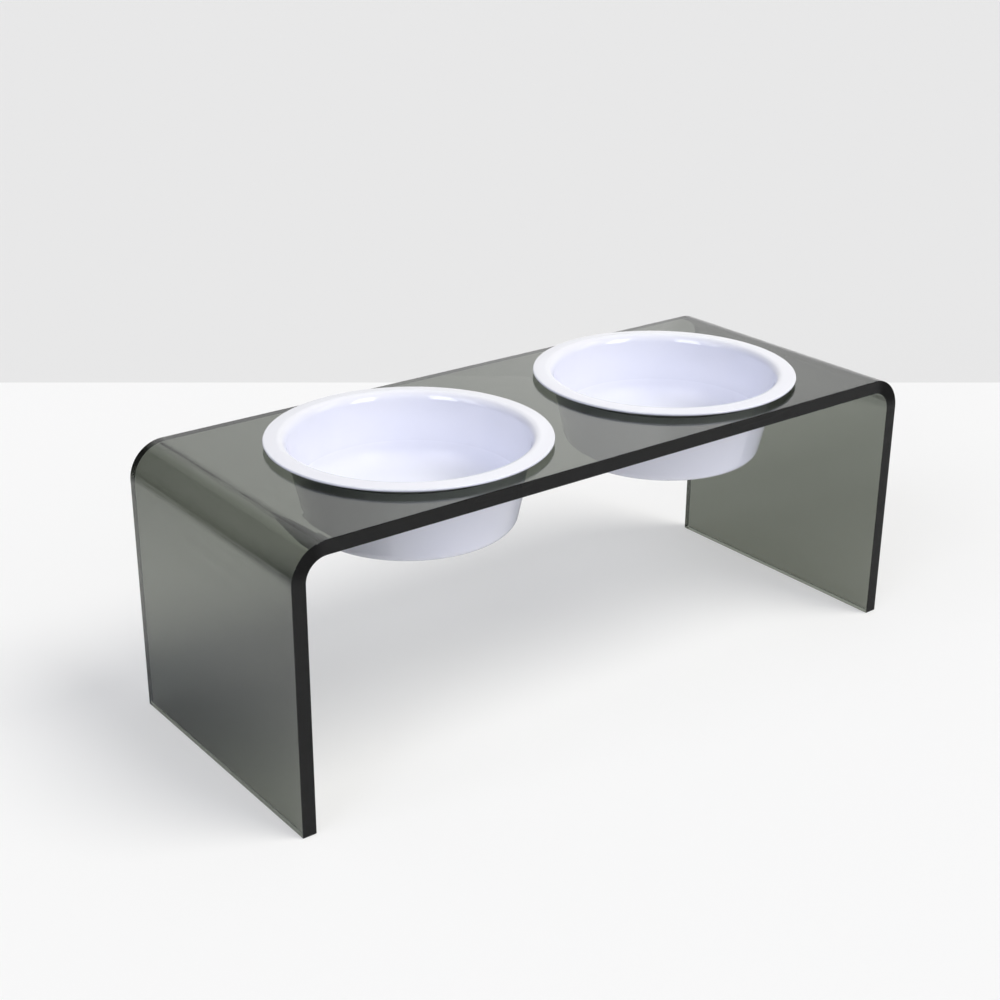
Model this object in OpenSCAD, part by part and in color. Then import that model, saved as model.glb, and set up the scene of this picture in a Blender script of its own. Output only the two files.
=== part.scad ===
// Raised feeder for a pet: one bent sheet of smoked acrylic with two round holes,
// and two alike flared bowls that hang in the holes by their tapered walls.
// Millimetres. The origin is on the floor under the middle of the stand,
// X runs along the stand, Y to its back and Z up.

/* [Stand] */
// Length of the stand, outside face of one leg to that of the other
stand_l = 500; // [440:1:700]
// Width of the sheet, front edge to back edge
stand_w = 198; // [188:1:320]
// Height of the shelf's top above the floor
stand_h = 186; // [80:1:400]
// Thickness of the sheet
sheet_t = 9.5; // [6:0.5:18]
// Radius inside each heat-formed bend
bend_r = 14.5; // [8:0.5:28]
// Polished bevel round both rims of each hole
hole_bevel = 0.6; // [0.2:0.1:1.5]

/* [Place of the bowls] */
// Distance between the two bowls' centres
bowl_spacing = 218; // [190:1:256]
// How far the pair of bowls sits to the right of the stand's middle
pair_shift = 6; // [0:0.5:12]
// Gap between a bowl's wall and the hole that carries it
seat_gap = 0.3; // [0.1:0.1:1]

/* [Bowl] */
// Diameter over the rim
bowl_d = 185; // [160:1:200]
// Height from the foot to the top of the rim
bowl_h = 60; // [44:1:76]
// Thickness of the wall and the rim
bowl_wall = 2.8; // [2:0.1:4.5]
// Thickness of the floor
floor_t = 3.6; // [2.4:0.1:8]
// Angle of the wall from upright
wall_slope = 12.4; // [4:0.1:20]
// How far the rim stands out past the wall
rim_w = 11.3; // [7:0.1:18]
// Thickness of the rim at its outer edge
rim_edge_t = 2; // [1.6:0.1:2.8]
// Gap between the rim's underside and the shelf
rim_lift = 2.6; // [1:0.1:6]
// Radius between the wall and the rim's underside
rim_fillet = 2.4; // [0.6:0.1:4]
// Radius inside, where the wall rolls over to the rim
lip_r = 8; // [5:0.5:10]
// Slant of that roll where it meets the rim's top, from level
lip_tilt = 25; // [15:1:40]
// Radius outside, where the wall meets the base
heel_r = 8; // [3:0.5:14]
// Radius inside, where the wall meets the floor
well_r = 26; // [6:1:32]
// Width of the ring that the bowl stands on
foot_w = 5; // [3:0.5:10]
// Depth of the hollow inside that ring
foot_recess = 1.2; // [0.4:0.1:2]

/* [Hidden] */
$fn = 128;
// Overrun of every cut past the face that it opens
cut = 1;

// Stand: radius outside the bend, and the two bowl centres along X
bend_outer_r = bend_r + sheet_t;
left_x = pair_shift - bowl_spacing / 2;
right_x = pair_shift + bowl_spacing / 2;

// Bowl: heights are measured from the shelf's top face, where it is carried
rim_top_z = rim_lift + bowl_wall;
foot_z = rim_top_z - bowl_h;
floor_z = foot_z + floor_t;
wall_top_r = bowl_d / 2 - rim_w;
rim_edge_r = rim_edge_t / 2;
rim_edge_x = bowl_d / 2 - rim_edge_r;
fillet_r = min(rim_fillet, rim_lift);

// Radius of the wall's outside and inside at the height z
function outer_r(z) = wall_top_r - (rim_lift - z) * tan(wall_slope);
function inner_r(z) = outer_r(z) - bowl_wall / cos(wall_slope);

// Point of a circle round centre where a line at the wall's slope touches it
function touch(centre, r) = centre + r * [cos(wall_slope), -sin(wall_slope)];

// Centres of the rounds: under the rim, over the lip, at the base outside, on the
// floor inside
fillet_c = [outer_r(rim_lift - fillet_r) + fillet_r / cos(wall_slope), rim_lift - fillet_r];
lip_z = rim_top_z - lip_r * cos(lip_tilt);
lip_c = [inner_r(lip_z) + lip_r / cos(wall_slope), lip_z];
lip_edge_x = lip_c.x - lip_r * sin(lip_tilt);
heel_c = [outer_r(foot_z + heel_r) - heel_r / cos(wall_slope), foot_z + heel_r];
well_c = [inner_r(floor_z + well_r) - well_r / cos(wall_slope), floor_z + well_r];
foot_hollow_r = heel_c.x - foot_w;

// The hole clears the wall by the seat's gap at the foot of its upper bevel
hole_r = outer_r(-hole_bevel) + seat_gap;

// Arch with round upper corners, whose legs run down past the floor by drop
module arch(length, height, corner_r, drop = 0) {
    translate([-length / 2, -drop])
        square([length, height - corner_r + drop]);
    translate([-length / 2 + corner_r, -drop])
        square([length - 2 * corner_r, height + drop]);
    for (side = [-1, 1])
        translate([side * (length / 2 - corner_r), height - corner_r])
            circle(corner_r);
}

// Section of the bent sheet, seen from the front
module sheet_profile() {
    difference() {
        arch(stand_l, stand_h, bend_outer_r);
        arch(stand_l - 2 * sheet_t, stand_h - sheet_t, bend_r, drop = cut);
    }
}

// Hole through the shelf with a bevel at each end
module bowl_hole() {
    bevel_r = hole_r + hole_bevel + cut;
    translate([0, 0, -sheet_t - cut])
        cylinder(r = hole_r, h = sheet_t + 2 * cut);
    translate([0, 0, -hole_bevel])
        cylinder(r1 = hole_r, r2 = bevel_r, h = hole_bevel + cut);
    translate([0, 0, -sheet_t - cut])
        cylinder(r1 = bevel_r, r2 = hole_r, h = hole_bevel + cut);
}

module stand() {
    color([0.36, 0.38, 0.35, 0.75])
        difference() {
            rotate([90, 0, 0])
                linear_extrude(stand_w, center = true)
                    sheet_profile();
            for (x = [left_x, right_x])
                translate([x, 0, stand_h])
                    bowl_hole();
        }
}

// Filled half section of the bowl: wall, round heel, the fillet under the rim, and
// the rim, which thins towards its round edge
module bowl_outline() {
    difference() {
        union() {
            polygon([
                [0, foot_z],
                [heel_c.x, foot_z],
                touch(heel_c, heel_r),
                touch(fillet_c, -fillet_r),
                fillet_c,
                [fillet_c.x, rim_lift],
                [rim_edge_x, rim_lift],
                [rim_edge_x, rim_lift + rim_edge_t],
                [lip_edge_x, rim_top_z],
                [0, rim_top_z]
            ]);
            translate(heel_c)
                circle(heel_r);
            translate([rim_edge_x, rim_lift + rim_edge_r])
                circle(rim_edge_r);
        }
        translate(fillet_c)
            circle(fillet_r);
    }
}

// Half section of the hollow: round well, sloping wall and rolled lip
module bowl_hollow() {
    difference() {
        union() {
            polygon([
                [0, floor_z],
                [well_c.x, floor_z],
                touch(well_c, well_r),
                touch(lip_c, -lip_r),
                lip_c,
                [lip_c.x, rim_top_z + cut],
                [0, rim_top_z + cut]
            ]);
            translate(well_c)
                circle(well_r);
        }
        translate(lip_c)
            circle(lip_r);
    }
}

// Hollow under the base, with its edge drawn in at 45 degrees
module foot_hollow() {
    polygon([
        [0, foot_z - cut],
        [foot_hollow_r, foot_z - cut],
        [foot_hollow_r, foot_z],
        [foot_hollow_r - foot_recess, foot_z + foot_recess],
        [0, foot_z + foot_recess]
    ]);
}

module bowl() {
    color([0.93, 0.93, 0.97])
        translate([0, 0, stand_h])
            rotate_extrude()
                difference() {
                    bowl_outline();
                    bowl_hollow();
                    foot_hollow();
                }
}

module left_bowl() {
    translate([left_x, 0, 0])
        bowl();
}

module right_bowl() {
    translate([right_x, 0, 0])
        bowl();
}

stand();
left_bowl();
right_bowl();
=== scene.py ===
# %% [markdown]
# # A raised double bowl for a pet
#
# This lesson dresses a packed construction model: one sheet of smoked acrylic,
# bent into a low table with two round holes, and two glazed bowls that hang in
# the holes. The construction model gives the true sizes, the bodies and the
# joints; this script gives each body its visible skin, its finish, a floor, a
# camera and light. Everything is in metres, with the floor at Z = 0, X along
# the stand and Y towards its back.

# %% Load the packed model
import math

import bmesh
import bpy
from mathutils import Matrix, Vector


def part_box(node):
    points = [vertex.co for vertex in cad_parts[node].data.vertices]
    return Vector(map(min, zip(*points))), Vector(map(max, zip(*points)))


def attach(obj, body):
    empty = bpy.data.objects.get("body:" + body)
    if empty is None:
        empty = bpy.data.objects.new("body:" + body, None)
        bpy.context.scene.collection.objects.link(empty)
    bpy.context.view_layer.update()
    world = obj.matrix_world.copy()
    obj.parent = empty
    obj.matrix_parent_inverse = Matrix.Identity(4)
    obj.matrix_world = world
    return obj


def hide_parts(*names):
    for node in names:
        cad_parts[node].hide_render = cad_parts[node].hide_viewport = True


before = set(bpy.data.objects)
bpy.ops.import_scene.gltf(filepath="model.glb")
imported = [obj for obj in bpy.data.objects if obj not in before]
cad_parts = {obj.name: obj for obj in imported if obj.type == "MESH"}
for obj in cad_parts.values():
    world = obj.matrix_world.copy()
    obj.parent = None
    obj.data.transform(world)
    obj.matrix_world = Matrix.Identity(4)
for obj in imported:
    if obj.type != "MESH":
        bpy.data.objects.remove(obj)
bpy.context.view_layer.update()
scene = bpy.context.scene
mm = 0.001
deg = math.radians(1.0)

# %% [markdown]
# ## The sizes
#
# A visible skin has to lie exactly where the construction model is, or the
# part would look one way and collide another way. So the few sizes that the
# skin needs are written once, in millimetres, and the model's own boxes tell
# us straight away if one of them is wrong. A bowl is carried by its tapered
# wall on the upper edge of its hole, so the hole follows from the wall.

# %% Sizes of the sheet and of the bowls
STAND_LONG, STAND_WIDE, STAND_HIGH = 500.0, 198.0, 186.0
SHEET_THICK, BEND_OUTER = 9.5, 24.0
BOWL_AT = {"left_bowl": -103.0, "right_bowl": 115.0}
BOWL_ACROSS, BOWL_TALL = 185.0, 60.0
WALL, FLOOR_THICK, SLOPE = 2.8, 3.6, 12.4 * deg
RIM_WIDE, RIM_LIFT, RIM_EDGE, RIM_FILLET = 11.3, 2.6, 2.0, 2.4
LIP_ROUND, LIP_TILT = 8.0, 25.0
WELL_ROUND, HEEL_ROUND = 26.0, 8.0
FOOT_RING, FOOT_HOLLOW = 5.0, 1.2
SEAT_GAP, HOLE_BEVEL = 0.3, 0.6


def wall_outside(z):
    """Radius of a bowl's outer wall at a height above the shelf's top."""
    wall_top = BOWL_ACROSS / 2 - RIM_WIDE
    return wall_top - (RIM_LIFT - z) * math.tan(SLOPE)


hole_radius = wall_outside(-HOLE_BEVEL) + SEAT_GAP
print("hole radius in mm:", round(hole_radius, 2))
low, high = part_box("stand")
print("stand box in mm:", [round(v / mm, 2) for v in (*low, *high)])

# %% [markdown]
# ## Wiring nodes with plain expressions
#
# Shader trees and Geometry Nodes are both graphs of small steps. Adding each
# Math node by hand hides the formula, so a small class wraps a socket and
# turns Python's own operators into Math nodes.

# %% A socket that can be used in a formula
class Wire:
    """The value on one socket; + - * ** and abs() add Math nodes."""

    def __init__(self, bench, socket):
        self.bench, self.socket = bench, socket

    def other(self, name):
        """Another output of the node that this value comes from."""
        return Wire(self.bench, find_socket(self.socket.node.outputs, name))

    def __add__(self, number):
        return self.bench.maths("ADD", self, number)

    def __sub__(self, number):
        return self.bench.maths("SUBTRACT", self, number)

    def __rsub__(self, number):
        return self.bench.maths("SUBTRACT", number, self)

    def __mul__(self, number):
        return self.bench.maths("MULTIPLY", self, number)

    def __pow__(self, number):
        return self.bench.maths("POWER", self, number)

    def __abs__(self):
        return self.bench.maths("ABSOLUTE", self)

    __radd__, __rmul__ = __add__, __mul__


def find_socket(sockets, name):
    """A socket by its place in the list, its identifier or its label."""
    if isinstance(name, int):
        return sockets[name]
    for socket in sockets:
        if socket.identifier == name:
            return socket
    return next(s for s in sockets if s.name == name and s.enabled)


print("Wire:", Wire.__doc__)

# %% [markdown]
# Wires and nodes lie together on a bench, which is one tree. One method adds
# any node: its type, its settings, then what goes into its sockets. The few
# kinds of node that come again and again get a short name of their own.

# %% A bench that adds nodes
class Bench:
    """Adds nodes to one tree."""

    def __init__(self, tree):
        self.tree = tree

    def node(self, kind, settings=None, values=None, out=0):
        """Any node; returns a Wire to one of its outputs."""
        made = self.tree.nodes.new(kind)
        for name, value in (settings or {}).items():
            setattr(made, name, value)
        for name, value in (values or {}).items():
            socket = find_socket(made.inputs, name)
            if isinstance(value, Wire):
                self.tree.links.new(value.socket, socket)
            else:
                socket.default_value = value
        return (Wire(self, find_socket(made.outputs, out))
                if made.outputs else None)

    def maths(self, operation, *values):
        """A Math node, also for what Python has no operator for."""
        return self.node("ShaderNodeMath", {"operation": operation},
                         dict(enumerate(values)))

    def between(self, value, start, end):
        """0 below start, 1 above end and a soft step in between."""
        return self.node("ShaderNodeMapRange",
                         {"interpolation_type": "SMOOTHSTEP"},
                         {"Value": value, "From Min": start, "From Max": end})

    def blend(self, share, first, second):
        """A colour between first and second."""
        return self.node("ShaderNodeMix", {"data_type": "RGBA"},
                         {"Factor_Float": share, "A_Color": first,
                          "B_Color": second}, "Result_Color")

    def noise(self, place, scale, detail):
        """Clouds from 0 to 1, about as many to the metre as the scale says."""
        return self.node("ShaderNodeTexNoise", None,
                         {"Vector": place, "Scale": scale, "Detail": detail})

    def xyz(self, vector):
        """The three numbers of a vector."""
        x = self.node("ShaderNodeSeparateXYZ", None, {"Vector": vector})
        return x, x.other("Y"), x.other("Z")

    def vector(self, x, z):
        """A vector in the plane Y = 0."""
        return self.node("ShaderNodeCombineXYZ", None, {"X": x, "Z": z})


def grey(tone):
    """A grey from 0, black, to 1, white."""
    return (tone, tone, tone, 1.0)


BLACK, WHITE = grey(0.0), grey(1.0)
print("a bench can add", [name for name in vars(Bench) if name[0] != "_"])

# %% [markdown]
# ## The camera
#
# The camera's place, aim and lens come from fitting the outer corners and
# edges of the real stand to where they lie in the photograph. It looks from
# the front left and from above, with a long lens, and leans by a third of a
# degree.

# %% Camera
VIEW_TURN, VIEW_UP, VIEW_LEAN = -37.54 * deg, 22.89 * deg, 0.36 * deg
VIEW_FAR, LENS_MM, SENSOR_MM = 1.1284, 60.37, 36.0
LOOK_AT = Vector((-0.03016, 0.0, 0.1267))

away = Vector((math.sin(VIEW_TURN) * math.cos(VIEW_UP),
               -math.cos(VIEW_TURN) * math.cos(VIEW_UP), math.sin(VIEW_UP)))
level = Vector((math.cos(VIEW_TURN), math.sin(VIEW_TURN), 0.0))
upward = away.cross(level)
across = math.cos(VIEW_LEAN) * level + math.sin(VIEW_LEAN) * upward
upright = math.cos(VIEW_LEAN) * upward - math.sin(VIEW_LEAN) * level
eye = LOOK_AT + VIEW_FAR * away

camera = bpy.data.objects.new("camera", bpy.data.cameras.new("camera"))
camera.data.sensor_width, camera.data.lens = SENSOR_MM, LENS_MM
camera.matrix_world = Matrix.Translation(eye) @ Matrix(
    (across, upright, away)).transposed().to_4x4()
scene.collection.objects.link(camera)
scene.camera = camera
print("camera stands at", [round(v, 3) for v in eye])

# %% [markdown]
# ## Running a tree once
#
# A Geometry Nodes tree is a recipe with named inputs. It is run once on a
# start mesh, its result is kept as a plain mesh with its place in its own
# points, and the modifier is taken off again, so that nothing is left to go
# wrong when the part is posed or exported.

# %% Helpers for Geometry Nodes
def new_recipe(name, inputs):
    """A tree with named inputs; returns its bench and each input's Wire."""
    tree = bpy.data.node_groups.new(name, "GeometryNodeTree")
    tree.interface.new_socket("Geometry", in_out="INPUT",
                              socket_type="NodeSocketGeometry")
    for label, kind in inputs.items():
        tree.interface.new_socket(label, in_out="INPUT",
                                  socket_type="NodeSocket" + kind)
    tree.interface.new_socket("Geometry", in_out="OUTPUT",
                              socket_type="NodeSocketGeometry")
    bench = Bench(tree)
    start = bench.node("NodeGroupInput")
    given = {label: start.other(label) for label in ["Geometry", *inputs]}
    return bench, given


def finish_recipe(bench, geometry, material):
    """Every recipe ends in real, painted geometry."""
    real = bench.node("GeometryNodeRealizeInstances", None,
                      {"Geometry": geometry})
    painted = bench.node("GeometryNodeSetMaterial", None,
                         {"Geometry": real, "Material": material})
    bench.node("NodeGroupOutput", None, {0: painted})
    return bench.tree


def make_once(name, tree, start_mesh, values):
    """Runs a recipe on a start mesh and keeps what it makes."""
    piece = bpy.data.objects.new(name, start_mesh)
    scene.collection.objects.link(piece)
    modifier = piece.modifiers.new("recipe", "NODES")
    modifier.node_group = tree
    sockets = {item.name: item.identifier for item in tree.interface.items_tree
               if item.in_out == "INPUT"}
    for label, value in values.items():
        modifier[sockets[label]] = value
    ready = piece.evaluated_get(bpy.context.evaluated_depsgraph_get())
    mesh = bpy.data.meshes.new_from_object(ready)
    piece.modifiers.remove(modifier)
    piece.data = mesh
    mesh.name = name
    print(name, "has", len(mesh.vertices), "points and",
          len(mesh.polygons), "faces")
    return piece


def size_in_mm(piece):
    """Lowest and highest corner of a piece's mesh."""
    points = [v.co for v in piece.data.vertices]
    return [round(pick(p[i] for p in points) / mm, 2)
            for pick in (min, max) for i in range(3)]


# %% [markdown]
# ## The finish of the sheet
#
# Smoked acrylic is clear plastic with a grey dye all through it. Light that
# crosses the sheet squarely meets 9.5 mm of dye, and a little under a quarter
# of it comes out; light that enters a cut edge has to cross the whole width,
# so the edges look nearly black. That is a volume, not a surface colour: the
# surface is clear and glossy, and an absorbing volume inside does the rest.
# The dye lets slightly more green through, which gives the olive tint.
#
# Two helpers come first, for this finish and for the glaze: an empty material,
# and how far a point is from the nearest bowl's axis.

# %% Helpers for the finishes
def new_finish(name):
    """A material with an empty tree."""
    material = bpy.data.materials.new(name)
    material.use_nodes = True
    material.node_tree.nodes.clear()
    return material, Bench(material.node_tree)


def bowl_radius(x, y):
    """Distance of a point from the nearest bowl's axis."""
    pair_middle = 0.5 * sum(BOWL_AT.values()) * mm
    half_pair = 0.5 * (BOWL_AT["right_bowl"] - BOWL_AT["left_bowl"]) * mm
    off_axis = abs(x - pair_middle) - half_pair
    return (off_axis * off_axis + y * y) ** 0.5


print("bowls stand at X in mm:", list(BOWL_AT.values()))

# %% [markdown]
# Fine handling marks are noise in the roughness, drawn out from front to back,
# the way the sheet is wiped. The slow waves of the sheet are noise in the
# bump, and so are the stronger ripples that the heat left beside the bends,
# which fade out along the shelf and down the leg.

# %% Marks, waves and ripples of the sheet
WIPE_SCALE = (1.0, 0.12, 1.0)
MARKS, WAVES, RIPPLES = 260.0, 22.0, 130.0
GLOSS, MARKED = 0.004, 0.012
MARKED_FROM, MARKED_FULL = 0.45, 0.75
HEATED_SHELF, HEATED_LEG_FULL, HEATED_LEG_END = 25.0, 35.0, 80.0
RIPPLES_OVER_WAVES = 2.5
SHEET_BUMP, SHEET_RISE = 0.12, 0.0006

acrylic, bench = new_finish("smoked_acrylic")
place = bench.node("ShaderNodeTexCoord", out="Object")
sheet_x, sheet_y, sheet_z = bench.xyz(place)
past_bend = abs(sheet_x) - (0.5 * STAND_LONG - BEND_OUTER) * mm
over_bend = sheet_z - (STAND_HIGH - BEND_OUTER) * mm

wiped = bench.node("ShaderNodeMapping", None,
                   {"Vector": place, "Scale": WIPE_SCALE})
marks = bench.noise(wiped, MARKS, detail=4.0)
sheet_gloss = GLOSS + MARKED * bench.between(marks, MARKED_FROM, MARKED_FULL)
heated = (bench.between(past_bend, -HEATED_SHELF * mm, 0.0)
          * bench.between(sheet_z, (STAND_HIGH - HEATED_LEG_END) * mm,
                          (STAND_HIGH - HEATED_LEG_FULL) * mm))
unevenness = (bench.noise(wiped, WAVES, detail=1.0) + RIPPLES_OVER_WAVES
              * bench.noise(wiped, RIPPLES, detail=1.0) * heated)
sheet_normal = bench.node("ShaderNodeBump", None, {
    "Strength": SHEET_BUMP, "Distance": SHEET_RISE, "Height": unevenness})
print("the bends start in mm at X", 0.5 * STAND_LONG - BEND_OUTER, "and Z",
      STAND_HIGH - BEND_OUTER)

# %% [markdown]
# The long cut edges are saw-cut and only half polished, so a dark, dull layer
# is mixed in there, found by the direction in which the surface faces; it is
# partly that dull finish and partly painted shade, for the darker reflection
# the edges show. At the two bends the layer is mixed in almost fully, as
# painted shade for the black that the edge mirrors there. On the walls of the
# holes, found by their distance from the bowls' axes and hidden by the bowls,
# the same layer is painted shade that darkens the ring round each bowl.

# %% Dull places and painted shade: cut edges, their bends and hole walls
SAWN_AND_SHADE_SHARE, BEND_EDGE_SHADE, BORE_SHADE_SHARE = 0.56, 0.95, 0.85
SIDE_FROM, SIDE_FULL = 0.93, 0.99
BENT_FADE = 0.4 * BEND_OUTER
BORE_FULL, BORE_END = 0.1, 0.5

facing_y = bench.xyz(bench.node("ShaderNodeTexCoord", out="Normal"))[1]
cut_edge = bench.between(facing_y * facing_y, SIDE_FROM, SIDE_FULL)
# painted shade: at the bends the dark layer is mixed in almost fully
bent = (bench.between(past_bend, 0.0, BENT_FADE * mm)
        * bench.between(over_bend, 0.0, BENT_FADE * mm))
# painted shade: the dark layer on the hole walls darkens the ring round each
# bowl
bore_shade = 1.0 - bench.between(bowl_radius(sheet_x, sheet_y),
                           (hole_radius + BORE_FULL) * mm,
                           (hole_radius + BORE_END) * mm)
dull_and_shade_share = ((SAWN_AND_SHADE_SHARE + (BEND_EDGE_SHADE - SAWN_AND_SHADE_SHARE) * bent) * cut_edge
              + BORE_SHADE_SHARE * bore_shade)
print("dull shares:", SAWN_AND_SHADE_SHARE, BEND_EDGE_SHADE, BORE_SHADE_SHARE)

# %% [markdown]
# The outside of each bend gets a darker base colour in a band with clear
# borders: painted shade for the dark band that light and reflections make on
# the bend. The angle round the bend's centre, 0 at the shelf and 90 degrees at
# the leg, finds it, and the base colour tints what shines through it.

# %% The painted shade band of each bend
BEND_SHADE_TINT = (0.54, 0.54, 0.53, 1.0)
BAND_START, BAND_END = (30 * deg, 36 * deg), (74 * deg, 77 * deg)
BAND_LEAST, BAND_DEEPENS = 0.72, (50 * deg, 76 * deg)
SKIN_FROM, SKIN_FULL = 0.80 * BEND_OUTER * mm, 0.85 * BEND_OUTER * mm

round_bend = bench.maths("ARCTAN2", past_bend, over_bend)
outer_skin = bench.between(past_bend * past_bend + over_bend * over_bend,
                           SKIN_FROM ** 2, SKIN_FULL ** 2)
band_shade_deepening = bench.between(round_bend, *BAND_DEEPENS)
bend_band_shade = (bench.between(round_bend, *BAND_START)
             * (1.0 - bench.between(round_bend, *BAND_END))
             * (BAND_LEAST + (1.0 - BAND_LEAST) * band_shade_deepening)
             * outer_skin)
print("the band runs from", round(BAND_START[0] / deg), "to",
      round(BAND_END[1] / deg), "degrees")

# %% [markdown]
# Now the looks come together: clear glossy plastic with the dye in its volume
# and the painted shade of the bend bands in its base colour, and a nearly
# black layer, partly dull saw-cut finish and partly painted shade, mixed in by
# the dull share. The dye's colour and density are plain numbers, the same all
# through the sheet.

# %% Smoked acrylic
ACRYLIC_INDEX, SAWN_AND_SHADE_TONE = 1.49, 0.012
DYE_DENSITY, DYE_COLOUR = 220.0, (0.300, 0.332, 0.264, 1.0)

clear = bench.node("ShaderNodeBsdfPrincipled", None, {
    # the base colour carries the painted shade band of the bends
    "Base Color": bench.blend(bend_band_shade, WHITE, BEND_SHADE_TINT),
    "Transmission Weight": 1.0, "IOR": ACRYLIC_INDEX,
    "Roughness": sheet_gloss, "Normal": sheet_normal})
# a nearly black layer: partly the dull saw-cut finish, partly painted shade
sawn_and_shade = bench.node("ShaderNodeBsdfDiffuse", None, {"Color": grey(SAWN_AND_SHADE_TONE)})
sheet_skin = bench.node("ShaderNodeMixShader", None,
                        {0: dull_and_shade_share, 1: clear, 2: sawn_and_shade})
dye = bench.node("ShaderNodeVolumeAbsorption", None,
                 {"Color": DYE_COLOUR, "Density": DYE_DENSITY})
bench.node("ShaderNodeOutputMaterial", None,
           {"Surface": sheet_skin, "Volume": dye})
print("acrylic nodes:", len(acrylic.node_tree.nodes))

# %% [markdown]
# ## The bent sheet
#
# On the real thing this is one strip of acrylic, heated along two lines and
# folded. A cube with bevelled edges would need the bends and the thickness
# set by eye. A path does it by rule: four corners, the two upper ones rounded
# by Fillet Curve, and the strip's section swept along it. The thickness is
# then the same everywhere, the bends are true arcs, and the two holes are cut
# straight through the shelf.
#
# The corners are numbered 0 to 3 from the left foot to the right one. Those
# past the middle number, 1.5, are on the right, and those next to it are up.

# %% Recipe for the sheet
MIDDLE_NUMBER, NEXT_TO_IT = 1.5, 0.6
bench, given = new_recipe("bent_sheet_recipe", {
    "Length": "Float", "Width": "Float", "Height": "Float",
    "Thickness": "Float", "Outer Bend": "Float", "Left Hole": "Float",
    "Right Hole": "Float", "Hole Radius": "Float",
    "Bend Steps": "Int", "Hole Steps": "Int", "Finish": "Material"})

thick = given["Thickness"]
half_run = (given["Length"] - thick) * 0.5
shelf_middle = given["Height"] - thick * 0.5
corners = bench.node("GeometryNodeMeshLine", None, {"Count": 4})
number = bench.node("GeometryNodeInputIndex")
is_right = bench.maths("GREATER_THAN", number, MIDDLE_NUMBER)
is_up = bench.maths("COMPARE", number, MIDDLE_NUMBER, NEXT_TO_IT)
outline = bench.node("GeometryNodeSetPosition", None, {
    "Geometry": corners, "Position": bench.vector(
        half_run * (2.0 * is_right - 1.0), shelf_middle * is_up)})
path = bench.node("GeometryNodeMeshToCurve", None, {"Mesh": outline})
bent_path = bench.node("GeometryNodeFilletCurve", {"mode": "POLY"}, {
    "Curve": path, "Count": given["Bend Steps"],
    "Radius": given["Outer Bend"] - thick * 0.5})
strip_section = bench.node("GeometryNodeCurvePrimitiveQuadrilateral", None, {
    "Width": thick, "Height": given["Width"]})
strip = bench.node("GeometryNodeCurveToMesh", None, {
    "Curve": bent_path, "Profile Curve": strip_section, "Fill Caps": True})
print("the bent strip takes", len(bench.tree.nodes), "nodes")

# %% [markdown]
# Each hole is a drill, twice as long as the sheet is thick, that stands in the
# middle of the shelf. Both drills are taken away in one step of mesh boolean.

# %% Drill both holes
cutters = bench.node("GeometryNodeJoinGeometry")
for hole in ("Left Hole", "Right Hole"):
    drill = bench.node("GeometryNodeMeshCylinder", None, {
        "Vertices": given["Hole Steps"], "Radius": given["Hole Radius"],
        "Depth": thick * 2.0})
    placed = bench.node("GeometryNodeTransform", None, {
        "Geometry": drill,
        "Translation": bench.vector(given[hole], shelf_middle)})
    bench.tree.links.new(placed.socket, cutters.socket.node.inputs[0])
drilled = bench.node("GeometryNodeMeshBoolean",
                     {"operation": "DIFFERENCE", "solver": "EXACT"},
                     {"Mesh 1": strip, "Mesh 2": cutters})
sheet_recipe = finish_recipe(bench, drilled, given["Finish"])
print("sheet recipe has", len(sheet_recipe.nodes), "nodes")

# %% Make the sheet
bent_sheet = make_once(
    "bent_sheet", sheet_recipe, bpy.data.meshes.new("start"), {
        "Length": STAND_LONG * mm, "Width": STAND_WIDE * mm,
        "Height": STAND_HIGH * mm, "Thickness": SHEET_THICK * mm,
        "Outer Bend": BEND_OUTER * mm,
        "Left Hole": BOWL_AT["left_bowl"] * mm,
        "Right Hole": BOWL_AT["right_bowl"] * mm,
        "Hole Radius": hole_radius * mm,
        "Bend Steps": 48, "Hole Steps": 256, "Finish": acrylic})
print("sheet lies in mm from and to", size_in_mm(bent_sheet))

# %% [markdown]
# A saw-cut acrylic edge is flame-polished or bevelled by a few tenths of a
# millimetre, and that thin bright line is what the eye reads as a real edge.
# A live Bevel modifier adds it wherever two faces meet sharply, and Weighted
# Normal keeps the large faces optically flat.

# %% Fine edges and shading of the sheet
SHARP = 25.0 * deg
FINE_EDGE, FINE_STEPS = 0.7, 3


def shade(piece):
    """Smooth shading, broken where faces meet sharply."""
    piece.data.shade_smooth()
    piece.data.set_sharp_from_angle(angle=SHARP)


shade(bent_sheet)
edges = bent_sheet.modifiers.new("fine_edges", "BEVEL")
edges.width, edges.segments = FINE_EDGE * mm, FINE_STEPS
edges.limit_method, edges.angle_limit = "ANGLE", SHARP
bent_sheet.modifiers.new("flat_faces", "WEIGHTED_NORMAL")
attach(bent_sheet, "stand")
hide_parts("stand")
print(bent_sheet.name, "is finished by",
      [modifier.name for modifier in bent_sheet.modifiers])

# %% [markdown]
# ## The glaze of the bowls
#
# The bowls are white stoneware under a cool, slightly lavender glaze. A glaze
# is a thin sheet of glass over a matt body: sharp highlights over a soft
# colour. On the steep faces its tone drifts a little at random. On the faces
# that look up, two tones are painted: a warmer, less blue one on the rim,
# which is painted light for the rim's bright sheen, and a darker one in the
# well, which is painted shade. The distance from the bowl's own axis and the
# way a face looks tell the shader which of these places it paints.

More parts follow.
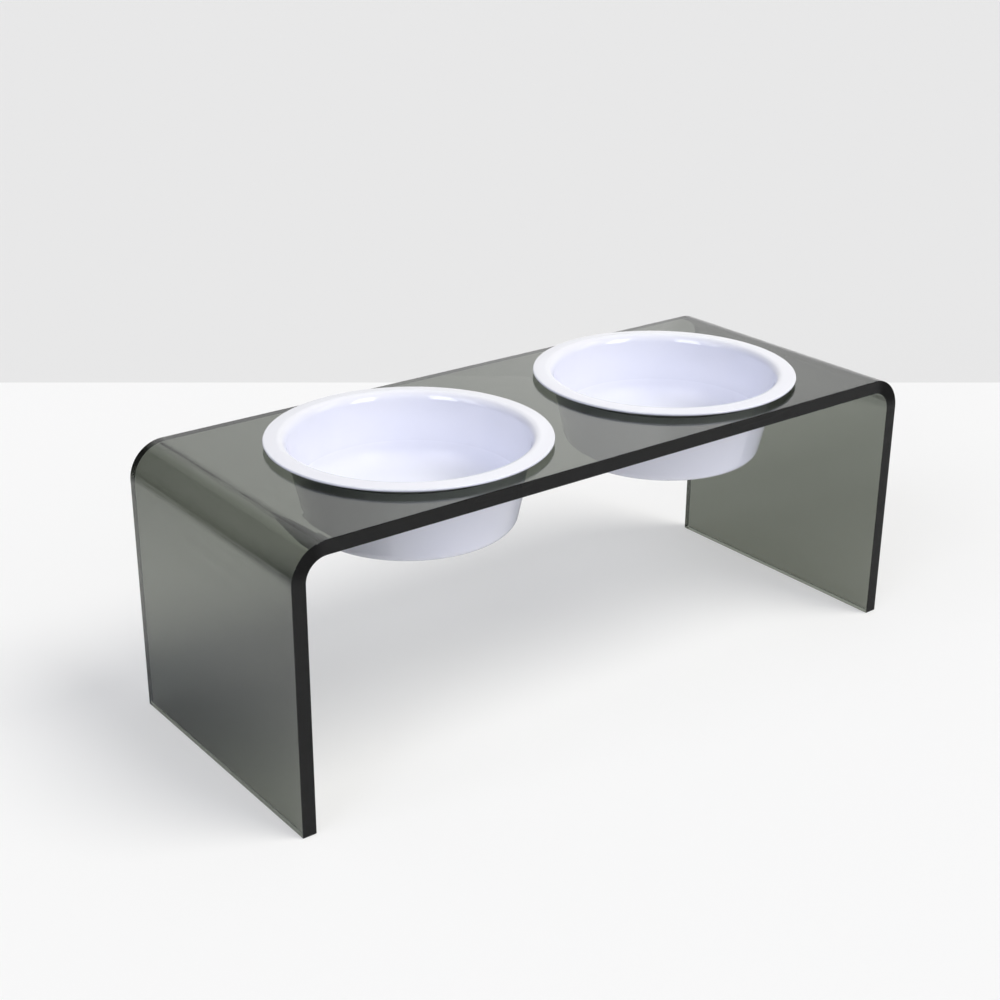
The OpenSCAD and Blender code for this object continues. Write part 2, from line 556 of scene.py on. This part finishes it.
# %% Glaze colours: painted light on the rim, painted shade in the well
GLAZE_WHITE = (0.825, 0.835, 0.94, 1.0)
GLAZE_POOLED = (0.80, 0.815, 0.93, 1.0)
RIM_PAINTED_LIGHT = (0.835, 0.84, 0.895, 1.0)
WELL_PAINTED_SHADE = (0.765, 0.78, 0.845, 1.0)
CLOUDS, CLOUD_FROM, CLOUD_FULL = 14.0, 0.35, 0.7
LEVEL_FROM, LEVEL_FULL = 0.3, 0.95
WELL_SHADE_FULL, WELL_SHADE_END = 60.0, 78.0

glaze, bench = new_finish("bowl_glaze")
place = bench.node("ShaderNodeTexCoord", out="Object")
bowl_x, bowl_y, bowl_z = bench.xyz(place)
radius = bowl_radius(bowl_x, bowl_y)
facing_up = bench.xyz(bench.node("ShaderNodeTexCoord", out="Normal"))[2]
clouds = bench.noise(place, CLOUDS, detail=2.0)
steep_glaze = bench.blend(bench.between(clouds, CLOUD_FROM, CLOUD_FULL),
                          GLAZE_WHITE, GLAZE_POOLED)
# painted light: a warmer tone on the level rim; painted shade: a darker well
level_light_and_shade = bench.blend(
    bench.between(radius, WELL_SHADE_FULL * mm, WELL_SHADE_END * mm),
    WELL_PAINTED_SHADE, RIM_PAINTED_LIGHT)
glaze_with_painted_light = bench.blend(bench.between(facing_up, LEVEL_FROM, LEVEL_FULL),
                           steep_glaze, level_light_and_shade)
print("the well's colour ends at a radius of", WELL_SHADE_END, "mm")

# %% [markdown]
# Outside and on the lip the glaze is glossy; inside, where a bowl wears most,
# it is silky. A faint ripple in the bump keeps its glints from being perfect.
# The ring that the bowl is fired on stays bare: rough, grainy and a little
# warmer.

# %% Glazed stoneware
GLAZE_INDEX, BARE_CLAY = 1.52, (0.66, 0.62, 0.55, 1.0)
GLOSSY, SILKY, ROUGH = 0.06, 0.52, 0.62
SILKY_FULL, SILKY_END, UPWARD = 64.0, 79.0, 0.1
BARE_TO, GLAZED_FROM = 0.2, 0.5
GRAIN, BROAD_RIPPLE = 900.0, 45.0
GLAZE_BUMP, GLAZE_RISE = 0.15, 0.0004

foot_z = (STAND_HIGH + RIM_LIFT + WALL - BOWL_TALL) * mm
covered = bench.between(bowl_z, foot_z + BARE_TO * mm,
                        foot_z + GLAZED_FROM * mm)
inside = (bench.between(facing_up, 0.0, UPWARD)
          * (1.0 - bench.between(radius, SILKY_FULL * mm, SILKY_END * mm)))
gloss = ROUGH - (ROUGH - GLOSSY - (SILKY - GLOSSY) * inside) * covered
relief = (bench.noise(place, BROAD_RIPPLE, detail=1.0) * covered
          + bench.noise(place, GRAIN, detail=3.0) * (1.0 - covered))
bowl_normal = bench.node("ShaderNodeBump", None, {
    "Strength": GLAZE_BUMP, "Distance": GLAZE_RISE, "Height": relief})
glazed = bench.node("ShaderNodeBsdfPrincipled", None, {
    "Base Color": bench.blend(covered, BARE_CLAY, glaze_with_painted_light),
    "IOR": GLAZE_INDEX, "Roughness": gloss, "Normal": bowl_normal})
bench.node("ShaderNodeOutputMaterial", None, {"Surface": glazed})
print("glaze nodes:", len(glaze.node_tree.nodes))

# %% [markdown]
# ## The bowls
#
# A bowl is thrown on a wheel, so one half section, turned about the axis,
# gives all of it. The section is drawn from the same rounds and slopes as the
# construction model: well, wall, rolled lip, rim, the fillet under the rim,
# heel and foot ring. Where the roll of the lip meets the slanted rim, a short
# ease takes the place of the last steps of the roll, as glaze fills a corner.

# %% Arcs and eased corners
EASE_REACH, EASE_POINTS = 2.2, 7


def arc(centre, radius, start, end, steps):
    """Points of an arc between two angles in degrees."""
    turns = [(start + (end - start) * i / steps) * deg
             for i in range(steps + 1)]
    return [(centre[0] + radius * math.cos(turn),
             centre[1] + radius * math.sin(turn)) for turn in turns]


def wall_inside(z):
    """Radius of the inner wall at a height above the shelf's top."""
    return wall_outside(z) - WALL / math.cos(SLOPE)


def soft_corner(start, corner, after):
    """Points that ease from start round a corner to EASE_REACH past it."""
    share = EASE_REACH / math.dist(corner, after)
    end = [c + (p - c) * share for c, p in zip(corner, after)]
    return [tuple((1 - t) ** 2 * a + 2 * t * (1 - t) * c + t * t * b
                  for a, c, b in zip(start, corner, end))
            for t in (i / EASE_POINTS for i in range(EASE_POINTS + 1))]


print("the wall at the shelf's top, inside and outside:",
      round(wall_inside(0.0), 2), round(wall_outside(0.0), 2))

# %% Half section of a bowl
EASED_STEPS, EDGE_FROM = 6, 85.0


def bowl_section():
    """Points from the pole inside, over the rim, to the pole underneath."""
    rim_top = RIM_LIFT + WALL
    foot = rim_top - BOWL_TALL
    floor = foot + FLOOR_THICK
    slope = math.degrees(SLOPE)
    edge = RIM_EDGE / 2
    edge_at = BOWL_ACROSS / 2 - edge
    lip_z = rim_top - LIP_ROUND * math.cos(LIP_TILT * deg)
    lip = (wall_inside(lip_z) + LIP_ROUND / math.cos(SLOPE), lip_z)
    crest = (lip[0] - LIP_ROUND * math.sin(LIP_TILT * deg), rim_top)
    roll = arc(lip, LIP_ROUND, 180.0 - slope, 90.0 + LIP_TILT, steps=20)
    under_rim = (wall_outside(RIM_LIFT - RIM_FILLET)
                 + RIM_FILLET / math.cos(SLOPE), RIM_LIFT - RIM_FILLET)
    heel = (wall_outside(foot + HEEL_ROUND) - HEEL_ROUND / math.cos(SLOPE),
            foot + HEEL_ROUND)
    well = (wall_inside(floor + WELL_ROUND) - WELL_ROUND / math.cos(SLOPE),
            floor + WELL_ROUND)
    ring = heel[0] - FOOT_RING
    return [
        (0.0, floor), (well[0] * 0.5, floor),
        *arc(well, WELL_ROUND, -90.0, -slope, steps=28),
        *roll[:-EASED_STEPS],
        *soft_corner(roll[-EASED_STEPS], crest,
                     (edge_at, RIM_LIFT + RIM_EDGE)),
        *arc((edge_at, RIM_LIFT + edge), edge, EDGE_FROM, -90.0, steps=14),
        *arc(under_rim, RIM_FILLET, 90.0, 180.0 - slope, steps=10),
        *arc(heel, HEEL_ROUND, -slope, -90.0, steps=14),
        (ring, foot), (ring - FOOT_HOLLOW, foot + FOOT_HOLLOW),
        (ring * 0.5, foot + FOOT_HOLLOW), (0.0, foot + FOOT_HOLLOW)]


half_section = bowl_section()
print("half section:", len(half_section), "points, from", half_section[0],
      "to", half_section[-1])

# %% [markdown]
# The tree sweeps the half section round a circle, and merging by distance
# closes the two poles, where the whole turn falls on one point. A profile is
# swept from the circle's line and not from its centre, so the circle's radius
# is taken off every radius of the section.

# %% Recipe for a bowl
TURN_RADIUS, MERGE_WITHIN = 0.05, 0.00001
bench, given = new_recipe("turned_bowl_recipe", {
    "Turn Steps": "Int", "Turn Radius": "Float", "Bowl Across": "Float",
    "Shelf Top": "Float", "Finish": "Material"})
half = bench.node("GeometryNodeMeshToCurve", None, {"Mesh": given["Geometry"]})
wheel = bench.node("GeometryNodeCurvePrimitiveCircle", None, {
    "Resolution": given["Turn Steps"], "Radius": given["Turn Radius"]})
turned = bench.node("GeometryNodeCurveToMesh", None,
                    {"Curve": wheel, "Profile Curve": half})
closed = bench.node("GeometryNodeMergeByDistance", None,
                    {"Geometry": turned, "Distance": MERGE_WITHIN})
placed = bench.node("GeometryNodeTransform", None, {
    "Geometry": closed,
    "Translation": bench.vector(given["Bowl Across"], given["Shelf Top"])})
bowl_recipe = finish_recipe(bench, placed, given["Finish"])
print("bowl recipe has", len(bowl_recipe.nodes), "nodes")

# %% Make both bowls
def face_outwards(piece):
    """Turns every face of a closed shell outwards."""
    shell = bmesh.new()
    shell.from_mesh(piece.data)
    bmesh.ops.recalc_face_normals(shell, faces=shell.faces)
    shell.to_mesh(piece.data)
    print(piece.name, "holds", round(shell.calc_volume() / (10 * mm) ** 3, 1),
          "cm3 of clay")
    shell.free()


for node, x in BOWL_AT.items():
    start = bpy.data.meshes.new(node + "_section")
    start.from_pydata(
        [(r * mm - TURN_RADIUS, -z * mm, 0.0) for r, z in half_section],
        [(i, i + 1) for i in range(len(half_section) - 1)], [])
    bowl = make_once(node + "_glazed", bowl_recipe, start, {
        "Turn Steps": 192, "Turn Radius": TURN_RADIUS, "Bowl Across": x * mm,
        "Shelf Top": STAND_HIGH * mm, "Finish": glaze})
    face_outwards(bowl)
    shade(bowl)
    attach(bowl, node)
    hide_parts(node)
    print(bowl.name, "lies in mm from and to", size_in_mm(bowl))
    low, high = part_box(node)
    print(node, "box in mm:", [round(v / mm, 2) for v in (*low, *high)])

# %% [markdown]
# ## The floor and the ground behind it
#
# The real thing was shown on white paper with a pale grey ground behind. Both
# are one flat sheet here, so that nothing stands in the way when the part is
# looked at from another side. The line between the two tones is where the
# camera's rays through one row of the picture meet the floor, so it lies
# level in the picture although the camera leans. The sheet lies a hair under
# the stand's feet, so that the two never share a plane.

# %% Where the two tones meet
LINE_ROW, PICTURE = 382.5, 1000.0
FLOOR_Z = -0.0002


def floor_under(column, row):
    """Where the camera's ray through a point of the picture lands."""
    scale = SENSOR_MM / LENS_MM / PICTURE
    ray = ((column - PICTURE / 2) * scale * across
           - (row - PICTURE / 2) * scale * upright - away)
    return eye + ray * ((FLOOR_Z - eye.z) / ray.z)


line_left = floor_under(0.0, LINE_ROW)
line_right = floor_under(PICTURE, LINE_ROW)
along = (line_right - line_left).normalized()
behind = Vector((-along.y, along.x, 0.0))
middle = (line_left + line_right) / 2
print("the line passes", [round(v, 3) for v in middle])

# %% [markdown]
# White paper in a photograph is exposed until it is just white. Turning the
# lamps up for that would bleach the bowls too, so for camera rays alone a
# share of the paper's brightness is its own; the rest is lit, and so the
# paper keeps the shadow. For mirrored rays the back left of the floor is
# dark, as the unlit end of a studio is, and what the paper throws back onto
# matt surfaces is held down a little.

# %% Paper that is white and still keeps a shadow
FIBRES, FIBRE_TONE = 900.0, 0.003
REAR_LEFT, REAR_FROM, REAR_FULL = (-0.54, 0.84), 0.28, 1.15
REAR_TURN = (-12 * deg, 14 * deg)
ROOM_GREY, OWN_SHARE, BOUNCE = 0.05, 0.46, 0.88


def new_paper(name, tone):
    """Paper of one tone, with a dark rear left end for mirrored rays."""
    material, bench = new_finish(name)
    place = bench.node("ShaderNodeTexCoord", out="Object")
    colour = bench.blend(bench.noise(place, FIBRES, detail=2.0),
                         grey(tone * (1.0 - FIBRE_TONE)),
                         grey(tone * (1.0 + FIBRE_TONE)))
    x, y, _ = bench.xyz(place)
    dark_end = (bench.between(REAR_LEFT[0] * x + REAR_LEFT[1] * y,
                              REAR_FROM, REAR_FULL)
                * (1.0 - bench.between(bench.maths("ARCTAN2", x, y),
                                       *REAR_TURN)))
    ray = bench.node("ShaderNodeLightPath")
    from_camera = ray.other("Is Camera Ray")
    from_mirror = ray.other("Is Glossy Ray")
    colour = bench.blend(dark_end * from_mirror, colour, grey(ROOM_GREY))
    glow = bench.node("ShaderNodeEmission", None,
                      {"Color": colour, "Strength": 1.0})
    paper = bench.node("ShaderNodeBsdfDiffuse", None, {"Color": colour})
    held_down = bench.node("ShaderNodeBsdfDiffuse", None,
                           {"Color": bench.blend(BOUNCE, BLACK, colour)})
    looked_at = bench.node("ShaderNodeMixShader", None, {
        0: OWN_SHARE * from_camera, 1: paper, 2: glow})
    is_looked_at = (from_camera + from_mirror
                    + ray.other("Is Transmission Ray"))
    paper_skin = bench.node("ShaderNodeMixShader", None, {
        0: is_looked_at, 1: held_down, 2: looked_at})
    bench.node("ShaderNodeOutputMaterial", None, {"Surface": paper_skin})
    return material


print("the paper's own share of light is", OWN_SHARE)

# %% Floor and ground behind
FLOOR_WHITE, GROUND_GREY, GROUND_REACH = 0.947, 0.807, 8.0


def pale_ground(name, tone, near, far):
    """One half of the ground, from near to far past the line."""
    corners = [middle + side * GROUND_REACH * along + depth * behind
               for side, depth in ((-1, near), (1, near), (1, far), (-1, far))]
    mesh = bpy.data.meshes.new(name)
    mesh.from_pydata(corners, [], [(0, 1, 2, 3)])
    mesh.materials.append(new_paper(name + "_paper", tone))
    ground = bpy.data.objects.new(name, mesh)
    scene.collection.objects.link(ground)
    print(name, "has a tone of", tone)


pale_ground("floor", FLOOR_WHITE, -GROUND_REACH, 0.0)
pale_ground("backdrop", GROUND_GREY, 0.0, GROUND_REACH)

# %% [markdown]
# ## The light
#
# Glossy acrylic is mostly a picture of the room round it, so the room is
# drawn in the world shader out of angles: how far round, and how high. It is
# drawn twice, because a mirror and a matt surface ask different questions of
# it. Every panel in it is a soft box between two turns and two heights.

# %% Directions and soft boxes
FRONT_BOXES = {"front": (-23.0, 0.0), "left": (56.0, 82.0),
               "side": (88.0, 106.0), "right": (-64.0, -46.0)}
FRONT_SOFT = 1.0

world = bpy.data.worlds.new("studio")
world.use_nodes = True
world.node_tree.nodes.clear()
bench = Bench(world.node_tree)
to_right, to_rear, to_top = bench.xyz(
    bench.node("ShaderNodeTexCoord", out="Generated"))
turn_rear = bench.maths("ARCTAN2", to_right, to_rear)
turn_front = bench.maths("ARCTAN2", -1.0 * to_right, -1.0 * to_rear)
rise = bench.maths("ARCSINE", to_top)


def softbox(turn, turns, heights, soft):
    """1 inside a panel of the studio, given in degrees; soft at its edges."""
    inside = 1.0
    for angle, limits in ((turn, turns), (rise, heights)):
        start, end = limits
        inside = (inside
                  * bench.between(angle, (start - soft) * deg,
                                  (start + soft) * deg)
                  * (1.0 - bench.between(angle, (end - soft) * deg,
                                         (end + soft) * deg)))
    return inside


def front_boxes(strengths, heights):
    """The boxes in front together, each with a strength of its own."""
    return sum(strength * softbox(turn_front, FRONT_BOXES[name], heights,
                                  FRONT_SOFT)
               for name, strength in strengths.items())


print("soft boxes in front:", list(FRONT_BOXES))

# %% [markdown]
# Matt surfaces are lit by a weak dome with three bright soft boxes. Mirrored
# and refracted rays see the paper wall behind the object, with the sharp edge
# that shows as a lighter patch in the shelf's far corner, and the soft boxes
# that make the long glints on the lips. Straight to the camera the world is
# plain grey.

# %% The studio round the object
SKY_COLOUR, DOME, DOME_RISE = (0.965, 0.985, 1.06, 1.0), 0.28, (4, 16)
LIGHT_HEIGHTS, GLINT_HEIGHTS = (10.0, 44.0), (16.0, 48.0)
BOX_LIGHT = {"front": 2.2, "left": 2.9, "side": 2.2}
BOX_GLINT = {"front": 6.0, "left": 6.0, "side": 2.1, "right": 2.1}
WALL_START, WALL_END = (-13, 15), (70, 140)
WALL_TONE, WALL_GAIN, GAIN_TURN = 0.90, 0.18, (28, 46)
PANEL, PANEL_TURN, PANEL_SOFT = 0.22, (25, 41), 0.4
PANEL_TURNS, PANEL_HEIGHTS = (20.0, 43.6), (15.3, 40.0)
DARK_ROOM = 0.06


def between_degrees(angle, limits):
    """A soft step between two angles in degrees."""
    return bench.between(angle, *(limit * deg for limit in limits))


lit = (DOME * between_degrees(rise, DOME_RISE)
       + front_boxes(BOX_LIGHT, LIGHT_HEIGHTS))
paper_wall = (between_degrees(turn_rear, WALL_START)
              * (1.0 - between_degrees(turn_rear, WALL_END)))
wall_tone = WALL_TONE + WALL_GAIN * between_degrees(turn_rear, GAIN_TURN)
panel = (between_degrees(turn_rear, PANEL_TURN)
         * softbox(turn_rear, PANEL_TURNS, PANEL_HEIGHTS, PANEL_SOFT))
shown = (DARK_ROOM + wall_tone * paper_wall + PANEL * panel
         + front_boxes(BOX_GLINT, GLINT_HEIGHTS))

sky, mirrored, seen = (
    bench.node("ShaderNodeBackground", None,
               {"Color": colour, "Strength": strength})
    for colour, strength in ((SKY_COLOUR, lit), (WHITE, shown),
                             (grey(GROUND_GREY), 1.0)))
ray = bench.node("ShaderNodeLightPath")
sharp_ray = bench.maths("MAXIMUM", ray.other("Is Glossy Ray"),
                        ray.other("Is Transmission Ray"))
both = bench.node("ShaderNodeMixShader", None,
                  {0: sharp_ray, 1: sky, 2: mirrored})
all_three = bench.node("ShaderNodeMixShader", None,
                       {0: ray.other("Is Camera Ray"), 1: both, 2: seen})
bench.node("ShaderNodeOutputWorld", None, {"Surface": all_three})
scene.world = world
print("studio nodes:", len(world.node_tree.nodes))

# %% [markdown]
# A broad, soft key light from the front right gives the shadow under the
# shelf its direction. The glossy sheet must not mirror it, because the drawn
# room already holds every lamp that shows there.

# %% The key light
KEY_TURN, KEY_UP, KEY_WIDTH = 140.0, 55.0, 32.0
KEY_STRENGTH, KEY_COLOUR = 2.0, (1.03, 1.01, 0.95)


def heading(turn, up):
    """A direction from the object: degrees from +Y towards +X, and upwards."""
    turn, up = turn * deg, up * deg
    return Vector((math.sin(turn) * math.cos(up),
                   math.cos(turn) * math.cos(up), math.sin(up)))


key = bpy.data.lights.new("key", "SUN")
key.energy, key.angle, key.color = KEY_STRENGTH, KEY_WIDTH * deg, KEY_COLOUR
key_light = bpy.data.objects.new("key_light", key)
key_light.rotation_euler = heading(
    KEY_TURN, KEY_UP).to_track_quat("Z", "Y").to_euler()
key_light.visible_glossy = False
scene.collection.objects.link(key_light)

# %% [markdown]
# ## Output settings
#
# The Standard view shows each colour as it is written.

# %% Output settings
scene.view_settings.view_transform = "Standard"
bpy.context.view_layer.update()
